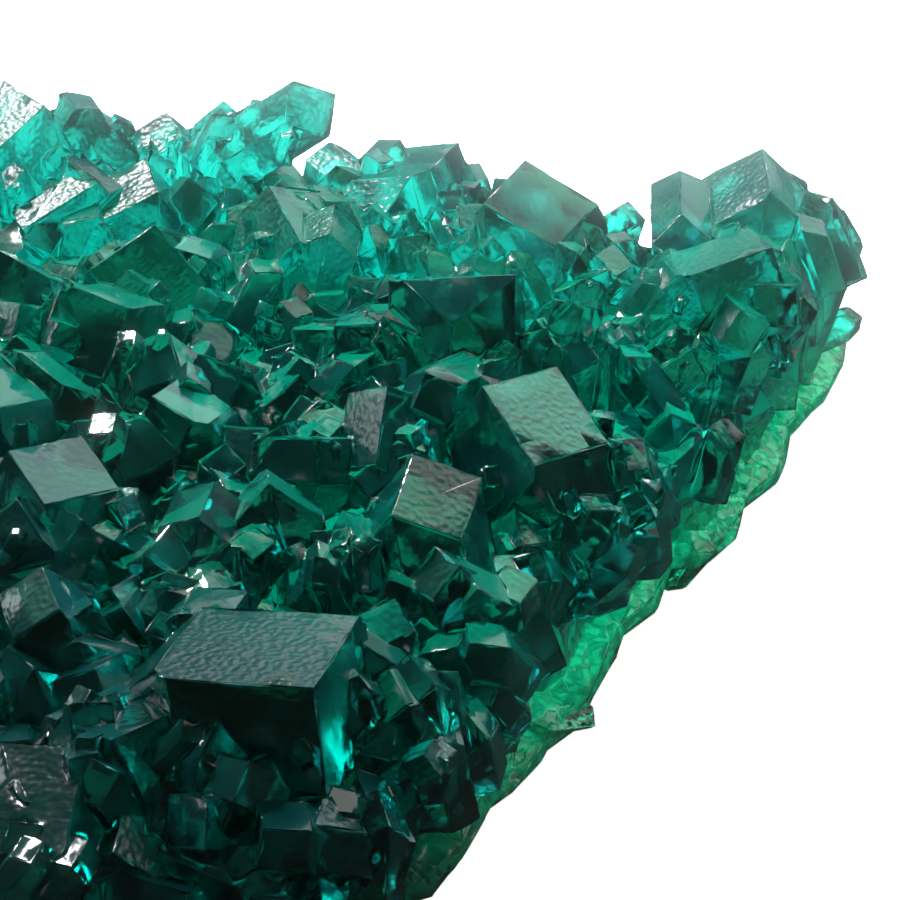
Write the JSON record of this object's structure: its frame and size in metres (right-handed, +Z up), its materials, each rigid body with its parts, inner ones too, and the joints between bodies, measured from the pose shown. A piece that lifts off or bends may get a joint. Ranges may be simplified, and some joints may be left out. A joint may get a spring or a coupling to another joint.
{
  "type": "dioptase crystal cluster",
  "caption": "Broken plate of intergrown emerald-green dioptase crystals: short six-sided prisms with three-faced points on a thin crust, cut flat underneath so it rests as a display specimen",
  "frame": {"origin": "centre of the flat underside: the middle of the outline's box in X and Y, at the height of the cut", "axes": "+Z up, the way the crystals point and the plate's thinnest extent; +X along the longer side of its outline; +Y towards the back, away from the viewer of the picture"},
  "size_m": [0.0412, 0.0406, 0.0123],
  "materials": {
    "dioptase": "glassy emerald-green mineral, deep in colour and see-through where thin, on flat crystal faces"
  },
  "bodies": {
    "root": {"dioptase_cluster": "dioptase"}
  },
  "joints": []
}
